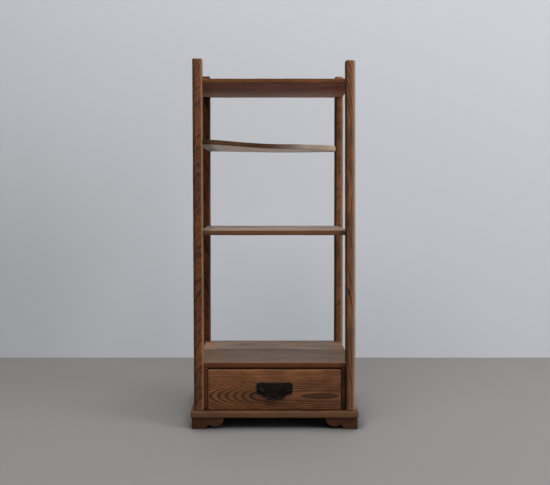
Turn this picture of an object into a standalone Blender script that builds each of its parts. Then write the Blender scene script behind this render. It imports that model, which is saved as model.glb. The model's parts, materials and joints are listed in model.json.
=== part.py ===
"""A wooden utensil shelf: base on bracket feet, four posts, four boards and a drawer with an iron bail.

Metres, +Z up. The front faces -Y, and the origin is on the floor under the middle of the base board.
"""

import math

import bmesh
import bpy

# Room between pieces that touch, and round the iron pins
GAP = 0.0003
HINGE_GAP = 0.0004

# Base board and bracket feet
BASE_WIDTH = 0.455
BASE_DEPTH = 0.303
BASE_THICKNESS = 0.018
BASE_EDGE_ROUND = 0.003
FOOT_HEIGHT = 0.0302
FOOT_LENGTH = 0.086
FOOT_THICKNESS = 0.016
FOOT_INSET = 0.0035
FOOT_SOLE = 0.039
FOOT_NOTCH_WIDTH = 0.0165
FOOT_NOTCH_HEIGHT = 0.0112
FOOT_LOBE_LIFT = 0.0062

# Posts
BASE_SIDE_OVERHANG = 0.008
BASE_FRONT_OVERHANG = 0.013
BASE_REAR_OVERHANG = 0.011
POST_SIDE = 0.026
POST_ROUND = 0.0045
POST_ABOVE_TOP_SHELF = 0.0541
FRONT_RIGHT_POST_SHORTER = 0.0045
REAR_RIGHT_POST_SHORTER = 0.001
TENON_SIDE = 0.013
TENON_LENGTH = 0.011

# Boards, from the lowest up, and the clear heights between them
CASE_INNER_HEIGHT = 0.1136
CASE_TOP_THICKNESS = 0.0147
CASE_TOP_HOUSING = 0.0165
LOWER_BAY = 0.346
MIDDLE_SHELF_THICKNESS = 0.0143
MIDDLE_SHELF_HOUSING = 0.0075
MIDDLE_BAY = 0.2276
UPPER_SHELF_THICKNESS = 0.0145
UPPER_SHELF_HOUSING = 0.0075
UPPER_BAY = 0.1558
TOP_SHELF_THICKNESS = 0.0112
TOP_SHELF_HOUSING = 0.006
TOP_SHELF_END_INSET = 0.003
BOARD_SETBACK = 0.004
BOARD_REAR_SETBACK = 0.010
BOARD_EDGE_ROUND = 0.0015

# Curved front edge of the upper shelf: its depths are measured from its straight rear edge
SHELF_SPRING_FROM_POST = 0.006
SHELF_WAIST_FROM_POST = 0.2135
SHELF_WAIST_DEPTH = 0.153
SHELF_SHOULDER_FROM_POST = 0.0455
SHELF_SHOULDER_DEPTH = 0.1185
SHELF_END_DEPTH = 0.0275
SHELF_TONGUE_SETBACK = 0.003

# Case round the drawer
CASE_SIDE_THICKNESS = 0.012
CASE_BACK_THICKNESS = 0.008
CASE_BACK_SETBACK = 0.006
CASE_BACK_GROOVE = 0.005
TONGUE_THICKNESS = 0.006
TONGUE_HEIGHT = 0.004
TONGUE_STOP = 0.012

# Drawer
DRAWER_RECESS = 0.0008
DRAWER_SIDE_GAP = 0.0008
DRAWER_TOP_GAP = 0.0038
DRAWER_BOTTOM_GAP = 0.001
DRAWER_REAR_GAP = 0.004
DRAWER_FRONT_THICKNESS = 0.018
DRAWER_FRONT_LIP = 0.008
DRAWER_FRONT_ROUND = 0.0012
DRAWER_SIDE_THICKNESS = 0.010
DRAWER_SIDE_DROP = 0.006
DRAWER_BACK_THICKNESS = 0.010
DRAWER_BOTTOM_THICKNESS = 0.006
DRAWER_BOTTOM_RISE = 0.008
DRAWER_GROOVE = 0.005
PEG_DIAMETER = 0.004
PEG_LENGTH = 0.020
PEG_EDGE_INSET = 0.026
PEG_SIDES = 12

# Iron handle
HANDLE_BELOW_CENTRE = 0.001
PIN_SPACING = 0.072
PIN_STANDOFF = 0.0075
PIN_BALL_RADIUS = 0.0048
PIN_COLLAR_RADIUS = 0.0042
PIN_COLLAR_THICKNESS = 0.001
PIN_SHANK_RADIUS = 0.0024
PIN_LEG_SPAN = 0.028
PIN_LEG_WIDTH = 0.004
PIN_LEG_THICKNESS = 0.0016
PLATE_THICKNESS = 0.0015
PLATE_WIDTH = 0.100
PLATE_TOP = 0.0204
PLATE_DIP = 0.0012
PLATE_WING_BOTTOM = 0.0135
PLATE_LOBE_WIDTH = 0.064
PLATE_LOBE_BOTTOM = 0.0235
BAIL_DROP = 0.0245
BAIL_ARM_CLEARANCE = 0.0018
BAIL_BEND = 0.003
BAIL_GRIP_RADIUS = 0.003
BAIL_ARM_RADIUS = 0.0019
PINTLE_RADIUS = 0.0018
PINTLE_PAST_EYE = 0.003

# Colours (linear), roughness and metal of the finishes
POST_COLOUR = (0.090, 0.040, 0.018)
BOARD_COLOUR = (0.105, 0.060, 0.035)
DRAWER_COLOUR = (0.105, 0.045, 0.019)
INNER_WOOD_COLOUR = (0.190, 0.120, 0.068)
FOOT_COLOUR = (0.050, 0.022, 0.011)
IRON_COLOUR = (0.012, 0.009, 0.007)
WOOD_ROUGHNESS = 0.62
INNER_WOOD_ROUGHNESS = 0.75
IRON_ROUGHNESS = 0.55

# Places worked out from the sizes
base_bottom = FOOT_HEIGHT
base_top = base_bottom + BASE_THICKNESS
case_top_bottom = base_top + CASE_INNER_HEIGHT
case_top_top = case_top_bottom + CASE_TOP_THICKNESS
middle_bottom = case_top_top + LOWER_BAY
middle_top = middle_bottom + MIDDLE_SHELF_THICKNESS
upper_bottom = middle_top + MIDDLE_BAY
upper_top = upper_bottom + UPPER_SHELF_THICKNESS
top_bottom = upper_top + UPPER_BAY
top_top = top_bottom + TOP_SHELF_THICKNESS
post_top = top_top + POST_ABOVE_TOP_SHELF

posts_outer_x = BASE_WIDTH / 2 - BASE_SIDE_OVERHANG
posts_inner_x = posts_outer_x - POST_SIDE
posts_front = -BASE_DEPTH / 2 + BASE_FRONT_OVERHANG
posts_rear = BASE_DEPTH / 2 - BASE_REAR_OVERHANG
board_front = posts_front + BOARD_SETBACK
board_rear = posts_rear - BOARD_REAR_SETBACK
shelf_tongue_front = posts_rear - POST_SIDE + SHELF_TONGUE_SETBACK

case_side_outer = posts_inner_x - GAP
case_side_inner = case_side_outer - CASE_SIDE_THICKNESS
case_back_rear = board_rear - CASE_BACK_SETBACK
case_back_front = case_back_rear - CASE_BACK_THICKNESS

drawer_half_width = case_side_inner - DRAWER_SIDE_GAP
drawer_face = board_front + DRAWER_RECESS
drawer_rear = case_back_front - DRAWER_REAR_GAP
drawer_bottom = base_top + DRAWER_BOTTOM_GAP
drawer_top = case_top_bottom - DRAWER_TOP_GAP
drawer_side_inner = drawer_half_width - DRAWER_SIDE_THICKNESS
drawer_front_back = drawer_face + DRAWER_FRONT_THICKNESS
drawer_side_bottom = base_top + GAP
drawer_side_top = drawer_top - DRAWER_SIDE_DROP
panel_bottom = drawer_bottom + DRAWER_BOTTOM_RISE
panel_top = panel_bottom + DRAWER_BOTTOM_THICKNESS

handle_z = (drawer_bottom + drawer_top) / 2 - HANDLE_BELOW_CENTRE
eye_y = drawer_face - PIN_STANDOFF
plate_front = drawer_face - GAP - PLATE_THICKNESS


def clear_scene():
    for obj in list(bpy.data.objects):
        bpy.data.objects.remove(obj, do_unlink=True)


def finish_material(name, colour, roughness, metallic=0.0):
    material = bpy.data.materials.new(name)
    material.use_nodes = True
    shader = material.node_tree.nodes["Principled BSDF"]
    shader.inputs["Base Color"].default_value = (*colour, 1.0)
    shader.inputs["Roughness"].default_value = roughness
    shader.inputs["Metallic"].default_value = metallic
    material.diffuse_color = (*colour, 1.0)
    return material


def wood(obj, colour=BOARD_COLOUR, roughness=WOOD_ROUGHNESS):
    obj.data.materials.append(finish_material(obj.name + "_wood", colour, roughness))
    return obj


def iron(obj):
    obj.data.materials.append(finish_material(obj.name + "_iron", IRON_COLOUR, IRON_ROUGHNESS, 0.8))
    return obj


def object_from(bm, name, origin=(0.0, 0.0, 0.0)):
    """The bmesh, drawn in world places, as an object whose origin is at the given point."""
    bmesh.ops.translate(bm, verts=bm.verts, vec=[-c for c in origin])
    bmesh.ops.recalc_face_normals(bm, faces=bm.faces)
    mesh = bpy.data.meshes.new(name)
    bm.to_mesh(mesh)
    bm.free()
    obj = bpy.data.objects.new(name, mesh)
    obj.location = origin
    bpy.context.scene.collection.objects.link(obj)
    return obj


def smooth(obj, degrees=35.0):
    obj.data.shade_smooth()
    obj.data.set_sharp_from_angle(angle=math.radians(degrees))
    return obj


def box_mesh(low, high):
    bm = bmesh.new()
    bmesh.ops.create_cube(bm, size=1.0)
    for vert in bm.verts:
        vert.co = [a + (c + 0.5) * (b - a) for c, a, b in zip(vert.co, low, high)]
    return bm


def rod_mesh(centre, axis, radius, length, steps):
    """A round rod along the X or the Y axis."""
    bm = bmesh.new()
    bmesh.ops.create_cone(
        bm, cap_ends=True, segments=steps, radius1=radius, radius2=radius, depth=length
    )
    for vert in bm.verts:
        across, up, along = vert.co
        vert.co = (along, across, up) if axis == "X" else (up, along, across)
    bmesh.ops.translate(bm, verts=bm.verts, vec=centre)
    return bm


def is_along(edge, axis):
    a, b = (v.co for v in edge.verts)
    others = [i for i in range(3) if i != axis]
    return all(abs(a[i] - b[i]) < 1e-7 for i in others)


def round_edges(bm, chosen, radius, segments=2):
    edges = [edge for edge in bm.edges if chosen(edge)]
    bmesh.ops.bevel(bm, geom=edges, offset=radius, segments=segments, profile=0.5, affect="EDGES")


def every_edge(edge):
    return True


def plank(name, low, high, rounding, segments=2, chosen=every_edge):
    """A board cut square, with the chosen edges eased."""
    bm = box_mesh(low, high)
    round_edges(bm, chosen, rounding, segments)
    return smooth(object_from(bm, name))


def prism(outline, low, high, place):
    """A closed body with this outline; place(u, v, w) puts an outline point at height w."""
    bm = bmesh.new()
    near = [bm.verts.new(place(u, v, low)) for u, v in outline]
    far = [bm.verts.new(place(u, v, high)) for u, v in outline]
    bm.faces.new(near[::-1])
    bm.faces.new(far)
    for i in range(len(outline)):
        j = (i + 1) % len(outline)
        bm.faces.new((near[i], near[j], far[j], far[i]))
    bmesh.ops.recalc_face_normals(bm, faces=bm.faces)
    return bm


def upright(u, v, w):
    return (u, v, w)


def turned(name, profile, centre, steps=16):
    """A body turned about the Y axis through centre, from (radius, y) points with a point on the axis at each end."""
    bm = bmesh.new()
    rings = []
    for radius, y in profile[1:-1]:
        angles = [2 * math.pi * k / steps for k in range(steps)]
        rings.append([bm.verts.new((radius * math.cos(a), y, radius * math.sin(a))) for a in angles])
    for ring, after in zip(rings, rings[1:]):
        for k in range(steps):
            n = (k + 1) % steps
            bm.faces.new((ring[k], ring[n], after[n], after[k]))
    for ring, (_, y) in ((rings[0], profile[0]), (rings[-1], profile[-1])):
        tip = bm.verts.new((0.0, y, 0.0))
        for k in range(steps):
            bm.faces.new((tip, ring[k], ring[(k + 1) % steps]))
    bmesh.ops.translate(bm, verts=bm.verts, vec=centre)
    return smooth(object_from(bm, name, centre))


def bezier(a, b, c, d, count):
    """Points of a cubic from a to d, with a and without d."""
    points = []
    for k in range(count):
        t = k / count
        s = 1 - t
        weights = (s**3, 3 * s * s * t, 3 * s * t * t, t**3)
        points.append(tuple(sum(w * p[i] for w, p in zip(weights, (a, b, c, d))) for i in range(2)))
    return points


def helper(obj):
    """Marks an object that only cuts or joins another one."""
    obj.hide_render = True
    obj.display_type = "WIRE"
    return obj


def cutter_box(name, low, high):
    return helper(object_from(box_mesh(low, high), name))


def cutter_rod(name, centre, axis, radius, length, steps=16):
    return helper(object_from(rod_mesh(centre, axis, radius, length, steps), name))


def cut(obj, tool, operation="DIFFERENCE"):
    modifier = obj.modifiers.new(f"{operation.lower()} {tool.name}", "BOOLEAN")
    modifier.operation = operation
    modifier.solver = "EXACT"
    modifier.object = tool


def make_post(name, x_sign, front, shorter, base_board):
    """A square post with eased edges and a stub tenon; its mortise is cut in the base board."""
    x_low, x_high = sorted((x_sign * posts_inner_x, x_sign * posts_outer_x))
    y_low = posts_front if front else posts_rear - POST_SIDE
    y_high = y_low + POST_SIDE
    tip = post_top - shorter
    low, high = (x_low, y_low, base_top + GAP), (x_high, y_high, tip)
    bm = box_mesh(low, high)
    middle = [(a + b) / 2 for a, b in zip(low, high)]
    bm.faces.ensure_lookup_table()
    under = [face for face in bm.faces if face.normal.z < -0.5]
    shoulder = (POST_SIDE - TENON_SIDE) / 2
    bmesh.ops.inset_region(bm, faces=under, thickness=shoulder, use_even_offset=True)
    made = bmesh.ops.extrude_discrete_faces(bm, faces=under)
    lowered = {vert for face in made["faces"] for vert in face.verts}
    bmesh.ops.translate(bm, verts=list(lowered), vec=(0, 0, -TENON_LENGTH))

    def outer_edge(edge):
        centre = (edge.verts[0].co + edge.verts[1].co) / 2
        on_side = max(abs(centre.x - middle[0]), abs(centre.y - middle[1])) > POST_SIDE / 2 - 1e-6
        return on_side and (is_along(edge, 2) or centre.z > tip - 1e-6)

    round_edges(bm, outer_edge, POST_ROUND, 4)
    post = smooth(object_from(bm, name))
    half = TENON_SIDE / 2 + GAP
    mortise = cutter_box(
        name + "_mortise",
        (middle[0] - half, middle[1] - half, base_top - TENON_LENGTH - GAP),
        (middle[0] + half, middle[1] + half, base_top + BASE_THICKNESS),
    )
    cut(base_board, mortise)
    return wood(post, POST_COLOUR)


def housing(name, half_length, y_low, y_high, bottom, top):
    """The room that a board takes out of the posts."""
    return cutter_box(
        name,
        (-half_length - GAP, y_low - GAP, bottom - GAP),
        (half_length + GAP, y_high + GAP, top + GAP),
    )


def straight_board(name, half_length, bottom, top):
    def long_edge(edge):
        return is_along(edge, 0)

    low, high = (-half_length, board_front, bottom), (half_length, board_rear, top)
    return wood(plank(name, low, high, BOARD_EDGE_ROUND, 2, long_edge))


def foot_profile():
    """The bracket from its outer end inwards: sole, arched notch, lobe and sweep up to the base board."""
    top = base_bottom - GAP
    radius = FOOT_NOTCH_WIDTH / 2
    centre_u = FOOT_SOLE + radius
    centre_v = FOOT_NOTCH_HEIGHT - radius
    lobe_angle = math.asin((FOOT_LOBE_LIFT - centre_v) / radius)
    points = [(0.0, top), (0.0, 0.0), (FOOT_SOLE, 0.0)]
    for k in range(8):
        angle = math.pi + (lobe_angle - math.pi) * k / 8
        points.append((centre_u + radius * math.cos(angle), centre_v + radius * math.sin(angle)))
    lobe_start = centre_u + radius * math.cos(lobe_angle)
    lobe = bezier(
        (lobe_start, FOOT_LOBE_LIFT),
        (lobe_start + 0.55 * (FOOT_LENGTH - lobe_start), FOOT_LOBE_LIFT),
        (FOOT_LENGTH, 0.33 * top),
        (FOOT_LENGTH, top),
        10,
    )
    return points + lobe + [(FOOT_LENGTH, top)]


def foot_bracket(name, x_sign, y_sign, along):
    """One half of a corner foot, mitred at its outer end to the other half."""
    corner_x = BASE_WIDTH / 2 - FOOT_INSET
    corner_y = BASE_DEPTH / 2 - FOOT_INSET
    mitre_gap = GAP * math.sqrt(0.5)

    def place(u, v, w):
        inwards = u if u > 0 else w
        if along == "X":
            return (x_sign * (corner_x - inwards - mitre_gap), y_sign * (corner_y - w), v)
        return (x_sign * (corner_x - w), y_sign * (corner_y - inwards - mitre_gap), v)

    bm = prism(foot_profile(), 0.0, FOOT_THICKNESS, place)
    return wood(smooth(object_from(bm, name)), FOOT_COLOUR)


def make_feet():
    for y_sign, depth_word in ((-1, "front"), (1, "rear")):
        for x_sign, side_word in ((-1, "left"), (1, "right")):
            corner = f"{depth_word}_{side_word}"
            foot_bracket(f"foot_{corner}", x_sign, y_sign, "X")
            foot_bracket(f"foot_side_{corner}", x_sign, y_sign, "Y")


def upper_shelf_outline():
    """Full depth at the left posts, drawn back in a wave, and rounded off at the rear right post.

    At that post it ends flush with the post's inner face, and only a tongue goes on into the post.
    """
    end = posts_inner_x + UPPER_SHELF_HOUSING
    free_end = posts_inner_x - GAP
    spring = -posts_inner_x + SHELF_SPRING_FROM_POST
    waist = (-posts_inner_x + SHELF_WAIST_FROM_POST, board_rear - SHELF_WAIST_DEPTH)
    shoulder = (posts_inner_x - SHELF_SHOULDER_FROM_POST, board_rear - SHELF_SHOULDER_DEPTH)
    tip = (free_end, board_rear - SHELF_END_DEPTH)
    left_run = waist[0] - spring
    wave = bezier(
        (spring, board_front),
        (spring + 0.25 * left_run, board_front),
        (spring + 0.47 * left_run, waist[1] - 0.12 * (waist[1] - board_front)),
        waist,
        12,
    )
    right_run = shoulder[0] - waist[0]
    right_rise = shoulder[1] - waist[1]
    swell = bezier(
        waist,
        (waist[0] + 0.38 * right_run, waist[1] + 0.10 * right_rise),
        (shoulder[0] - 0.26 * right_run, shoulder[1] - 0.55 * right_rise),
        shoulder,
        8,
    )
    corner = bezier(
        shoulder,
        (shoulder[0] + 0.57 * (free_end - shoulder[0]), shoulder[1] + 0.22 * (tip[1] - shoulder[1])),
        (free_end, shoulder[1] + 0.55 * (tip[1] - shoulder[1])),
        tip,
        10,
    )
    tongue = [(free_end, shelf_tongue_front), (end, shelf_tongue_front), (end, board_rear)]
    return [(-end, board_rear), (-end, board_front)] + wave + swell + corner + [tip] + tongue


def make_upper_shelf():
    bm = prism(upper_shelf_outline(), upper_bottom, upper_top, upright)

    def front_edge(edge):
        level = abs(edge.verts[0].co.z - edge.verts[1].co.z) < 1e-7
        return level and max(v.co.y for v in edge.verts) < board_rear - SHELF_END_DEPTH + 1e-6

    round_edges(bm, front_edge, BOARD_EDGE_ROUND, 2)
    return wood(smooth(object_from(bm, "upper_shelf")))


def top_shelf_outline():
    """The board reaches out between the posts, with a corner cut round each of them."""
    half = posts_outer_x - TOP_SHELF_END_INSET
    notch_x = posts_inner_x + TOP_SHELF_HOUSING
    notch_front = posts_front + POST_SIDE - TOP_SHELF_HOUSING
    notch_rear = posts_rear - POST_SIDE + TOP_SHELF_HOUSING
    right = [
        (notch_x, board_front),
        (notch_x, notch_front),
        (half, notch_front),
        (half, notch_rear),
        (notch_x, notch_rear),
        (notch_x, board_rear),
    ]
    return right + [(-x, y) for x, y in reversed(right)]


def make_top_shelf():
    bm = prism(top_shelf_outline(), top_bottom, top_top, upright)

    def front_edge(edge):
        y = (edge.verts[0].co.y + edge.verts[1].co.y) / 2
        return is_along(edge, 0) and (y < board_front + 1e-6 or y > board_rear - 1e-6)

    round_edges(bm, front_edge, BOARD_EDGE_ROUND, 2)
    return wood(smooth(object_from(bm, "top_shelf")))


def make_case(base_board, case_top):
    """The two side boards with their tongues, and the back panel in its grooves."""
    panel_half = case_side_inner + CASE_BACK_GROOVE - GAP
    panel = object_from(
        box_mesh(
            (-panel_half, case_back_front, base_top + GAP),
            (panel_half, case_back_rear, case_top_bottom - GAP),
        ),
        "case_back",
    )
    wood(panel, INNER_WOOD_COLOUR, INNER_WOOD_ROUGHNESS)
    groove = cutter_box(
        "case_back_groove",
        (-panel_half - GAP, case_back_front - GAP, base_top - CASE_INNER_HEIGHT),
        (panel_half + GAP, case_back_rear + GAP, case_top_top + CASE_INNER_HEIGHT),
    )
    for sign, word in ((-1, "left"), (1, "right")):
        x_low, x_high = sorted((sign * case_side_inner, sign * case_side_outer))
        side = plank(
            "case_side_" + word,
            (x_low, board_front, base_top + GAP),
            (x_high, board_rear, case_top_bottom - GAP),
            0.5 * BOARD_EDGE_ROUND,
            2,
            lambda edge: is_along(edge, 2),
        )
        middle = (x_low + x_high) / 2
        half = TONGUE_THICKNESS / 2
        y_low, y_high = board_front + TONGUE_STOP, board_rear - TONGUE_STOP
        tongue = cutter_box(
            f"case_side_{word}_tongue",
            (middle - half, y_low, base_top - TONGUE_HEIGHT),
            (middle + half, y_high, case_top_bottom + TONGUE_HEIGHT),
        )
        tongue_room = cutter_box(
            f"case_side_{word}_tongue_room",
            (middle - half - GAP, y_low - GAP, base_top - TONGUE_HEIGHT - GAP),
            (middle + half + GAP, y_high + GAP, case_top_bottom + TONGUE_HEIGHT + GAP),
        )
        cut(side, tongue, "UNION")
        cut(side, groove)
        cut(base_board, tongue_room)
        cut(case_top, tongue_room)
        wood(side, POST_COLOUR)


def drawer_front_outline():
    """From above: full width at the face, and a rebate at each end for the drawer's side."""
    right = [
        (drawer_half_width, drawer_face),
        (drawer_half_width, drawer_face + DRAWER_FRONT_LIP),
        (drawer_side_inner, drawer_face + DRAWER_FRONT_LIP),
        (drawer_side_inner, drawer_front_back),
    ]
    return right + [(-x, y) for x, y in reversed(right)]


def make_drawer():
    """Front, sides, back and bottom, with two wooden pegs in each corner."""
    bm = prism(drawer_front_outline(), drawer_bottom, drawer_top, upright)

    def face_edge(edge):
        return all(v.co.y < drawer_face + 1e-6 for v in edge.verts)

    round_edges(bm, face_edge, DRAWER_FRONT_ROUND, 2)
    front = wood(smooth(object_from(bm, "drawer_front")), DRAWER_COLOUR)

    back_front = drawer_rear - DRAWER_BACK_THICKNESS
    back = object_from(
        box_mesh(
            (-drawer_side_inner + GAP, back_front, panel_top + GAP),
            (drawer_side_inner - GAP, drawer_rear, drawer_side_top),
        ),
        "drawer_back",
    )
    wood(back, INNER_WOOD_COLOUR, INNER_WOOD_ROUGHNESS)

    panel_half = drawer_side_inner + DRAWER_GROOVE
    panel_front = drawer_front_back - DRAWER_GROOVE
    bottom = object_from(
        box_mesh((-panel_half, panel_front, panel_bottom), (panel_half, drawer_rear, panel_top)),
        "drawer_bottom",
    )
    wood(bottom, INNER_WOOD_COLOUR, INNER_WOOD_ROUGHNESS)
    groove = cutter_box(
        "drawer_bottom_groove",
        (-panel_half - GAP, panel_front - GAP, panel_bottom - GAP),
        (panel_half + GAP, drawer_rear + DRAWER_GROOVE, panel_top + GAP),
    )
    cut(front, groove)

    pieces = [front, back, bottom]
    peg_heights = (drawer_side_bottom + PEG_EDGE_INSET, drawer_side_top - PEG_EDGE_INSET)
    front_peg_y = (drawer_face + DRAWER_FRONT_LIP + drawer_front_back) / 2
    back_peg_y = (back_front + drawer_rear) / 2
    for sign, word in ((-1, "left"), (1, "right")):
        x_low, x_high = sorted((sign * (drawer_side_inner + GAP), sign * drawer_half_width))
        side = object_from(
            box_mesh(
                (x_low, drawer_face + DRAWER_FRONT_LIP + GAP, drawer_side_bottom),
                (x_high, drawer_rear, drawer_side_top),
            ),
            "drawer_side_" + word,
        )
        cut(side, groove)
        wood(side, INNER_WOOD_COLOUR, INNER_WOOD_ROUGHNESS)
        pieces.append(side)
        for end_word, end_piece, y in (("front", front, front_peg_y), ("rear", back, back_peg_y)):
            for level_word, z in zip(("low", "high"), peg_heights):
                name = f"drawer_peg_{end_word}_{word}_{level_word}"
                peg, hole = make_peg(name, sign, y, z)
                cut(side, hole)
                cut(end_piece, hole)
                pieces.append(peg)
    return pieces


def make_peg(name, sign, y, z):
    """A wooden peg driven in from the outside of the drawer's side, and the hole that it fills."""
    radius = PEG_DIAMETER / 2
    centre = (sign * (drawer_half_width - PEG_LENGTH / 2), y, z)
    peg = object_from(rod_mesh(centre, "X", radius, PEG_LENGTH, PEG_SIDES), name)
    wood(smooth(peg), INNER_WOOD_COLOUR, INNER_WOOD_ROUGHNESS)
    hole_centre = (centre[0] + sign * radius, y, z)
    hole_length = PEG_LENGTH + PEG_DIAMETER + 2 * GAP
    return peg, cutter_rod(name + "_hole", hole_centre, "X", radius + GAP, hole_length, PEG_SIDES)


def plate_outline():
    """A wing at each side, a shallow dip in the top edge and a lobe below, about the pins' line."""
    half = PLATE_WIDTH / 2
    lobe = PLATE_LOBE_WIDTH / 2
    top, dip = PLATE_TOP, PLATE_TOP - PLATE_DIP
    right = bezier((0, dip), (0.20 * half, dip), (0.35 * half, top), (0.62 * half, top), 6)
    right += bezier((0.62 * half, top), (0.95 * half, top), (half, 0.92 * top), (half, 0.5 * top), 6)
    right += bezier(
        (half, 0.5 * top),
        (half, -0.8 * PLATE_WING_BOTTOM),
        (0.98 * half, -PLATE_WING_BOTTOM),
        (lobe + 0.18 * half, -PLATE_WING_BOTTOM),
        6,
    )
    right += bezier(
        (lobe + 0.18 * half, -PLATE_WING_BOTTOM),
        (lobe - 0.02 * half, -0.66 * PLATE_LOBE_BOTTOM),
        (0.62 * lobe, -PLATE_LOBE_BOTTOM),
        (0, -PLATE_LOBE_BOTTOM),
        8,
    )
    left = [(-x, z) for x, z in reversed(right[1:])]
    return right + [(0, -PLATE_LOBE_BOTTOM)] + left


def make_handle(drawer_front):
    """Back plate, two eye pins clenched inside the drawer, and the bail that swings in them."""

    def on_plate(u, v, w):
        return (u, w, handle_z + v)

    plate_back = drawer_face - GAP
    bm = prism(plate_outline(), plate_front, plate_back, on_plate)
    plate = iron(smooth(object_from(bm, "handle_plate")))

    pieces = [plate]
    hole_radius = PIN_SHANK_RADIUS + GAP
    for sign, word in ((-1, "left"), (1, "right")):
        centre = (sign * PIN_SPACING / 2, eye_y, handle_z)
        pin = make_pin("handle_pin_" + word, centre)
        length = 2 * (PIN_STANDOFF + DRAWER_FRONT_THICKNESS)
        hole = cutter_rod(f"handle_pin_{word}_hole", centre, "Y", hole_radius, length)
        cut(plate, hole)
        cut(drawer_front, hole)
        pieces.append(iron(pin))
    return pieces


def make_pin(name, centre):
    """A forged eye pin: a pierced ball, a collar on the plate, and two legs bent over inside the drawer."""
    collar_back = plate_front - GAP - eye_y
    collar_front = collar_back - PIN_COLLAR_THICKNESS
    leg_front = drawer_front_back + GAP - eye_y
    leg_back = leg_front + PIN_LEG_THICKNESS
    neck_angle = math.pi - math.asin(PIN_SHANK_RADIUS / PIN_BALL_RADIUS)
    profile = [(0.0, -PIN_BALL_RADIUS)]
    steps = 10
    for k in range(1, steps + 1):
        angle = neck_angle * k / steps
        profile.append((PIN_BALL_RADIUS * math.sin(angle), -PIN_BALL_RADIUS * math.cos(angle)))
    if profile[-1][1] < collar_front:
        profile.append((PIN_SHANK_RADIUS, collar_front))
    profile += [
        (PIN_COLLAR_RADIUS, max(collar_front, profile[-1][1])),
        (PIN_COLLAR_RADIUS, collar_back),
        (PIN_SHANK_RADIUS, collar_back),
        (PIN_SHANK_RADIUS, leg_back),
        (0.0, leg_back),
    ]
    pin = turned(name, profile, centre)
    y_face = eye_y + leg_front
    legs = cutter_box(
        name + "_legs",
        (centre[0] - PIN_LEG_WIDTH / 2, y_face, centre[2] - PIN_LEG_SPAN / 2),
        (centre[0] + PIN_LEG_WIDTH / 2, y_face + PIN_LEG_THICKNESS, centre[2] + PIN_LEG_SPAN / 2),
    )
    eye = cutter_rod(name + "_eye", centre, "X", PINTLE_RADIUS + HINGE_GAP, 4 * PIN_BALL_RADIUS)
    cut(pin, legs, "UNION")
    cut(pin, eye)
    return pin


def bail_path():
    """(x, z, radius) from the middle of the grip to the end of the right pintle, about the hinge line."""
    eye_face = PIN_SPACING / 2 - PIN_BALL_RADIUS
    arm_x = eye_face - BAIL_ARM_CLEARANCE - BAIL_ARM_RADIUS
    grip = bezier(
        (0.0, -BAIL_DROP),
        (0.86 * arm_x, -BAIL_DROP),
        (arm_x, -0.84 * BAIL_DROP),
        (arm_x, -BAIL_BEND),
        9,
    )
    path = []
    for k, (x, z) in enumerate(grip):
        share = max(0.0, (k - 3) / (len(grip) - 3))
        path.append((x, z, BAIL_GRIP_RADIUS + share * (BAIL_ARM_RADIUS - BAIL_GRIP_RADIUS)))
    bend = 5
    for k in range(bend + 1):
        angle = math.pi / 2 * k / bend
        radius = BAIL_ARM_RADIUS + k / bend * (PINTLE_RADIUS - BAIL_ARM_RADIUS)
        x = arm_x + BAIL_BEND * (1 - math.cos(angle))
        path.append((x, -BAIL_BEND * (1 - math.sin(angle)), radius))
    path.append((PIN_SPACING / 2 + PINTLE_PAST_EYE, 0.0, PINTLE_RADIUS))
    return path


def make_bail():
    """The hanging bow; its origin is on the line through the two eyes."""
    right = bail_path()
    points = [(-x, z, radius) for x, z, radius in reversed(right[1:])] + right
    curve = bpy.data.curves.new("handle_bail", "CURVE")
    curve.dimensions = "3D"
    curve.bevel_depth = 1.0
    curve.bevel_resolution = 3
    curve.use_fill_caps = True
    spline = curve.splines.new("POLY")
    spline.points.add(len(points) - 1)
    for point, (x, z, radius) in zip(spline.points, points):
        point.co = (x, 0.0, z, 1.0)
        point.radius = radius
    spline.use_smooth = True
    bail = bpy.data.objects.new("handle_bail", curve)
    bail.location = (0.0, eye_y, handle_z)
    bpy.context.scene.collection.objects.link(bail)
    return iron(bail)


def carried_by(parent, pieces):
    bpy.context.view_layer.update()
    for piece in pieces:
        piece.parent = parent
        piece.matrix_parent_inverse = parent.matrix_world.inverted()


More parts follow.
